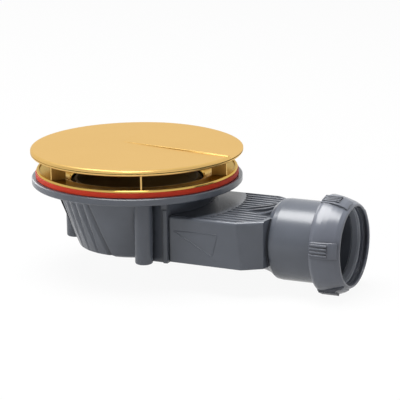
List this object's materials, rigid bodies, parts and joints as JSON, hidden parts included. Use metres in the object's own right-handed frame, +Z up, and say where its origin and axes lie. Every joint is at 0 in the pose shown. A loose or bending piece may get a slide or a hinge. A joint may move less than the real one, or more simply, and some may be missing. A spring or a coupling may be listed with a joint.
{
  "type": "shower trap",
  "caption": "Low shower trap: round cover on legs over a clamp flange and gasket, tapered bowl with a dip insert, flat ridged outlet chamber and a pipe socket with a compression nut.",
  "frame": {"origin": "on the waste axis at the clamp plane, where the clamp flange's underside meets the gasket", "axes": "+Z up along the waste axis, +X along the outlet, out of its mouth"},
  "size_m": [0.1849, 0.1158, 0.0703],
  "materials": {
    "gold_plate": "satin gold plating on moulded plastic",
    "red_rubber": "soft matt rubber",
    "screw_steel": "plain stainless steel",
    "body_plastic": "moulded, slight sheen",
    "insert_plastic": "moulded, plain",
    "black_rubber": "matt rubber",
    "nut_plastic": "moulded, slight sheen"
  },
  "bodies": {
    "root": {"cover": "gold_plate", "clamp_flange": "gold_plate", "flange_gasket": "red_rubber", "clamp_screws": "screw_steel", "trap_bowl": "body_plastic", "outlet_chamber": "body_plastic", "trap_insert": "insert_plastic", "insert_o_ring": "black_rubber", "outlet_seal": "black_rubber", "slip_washer": "nut_plastic", "outlet_nut": "nut_plastic"}
  },
  "joints": []
}
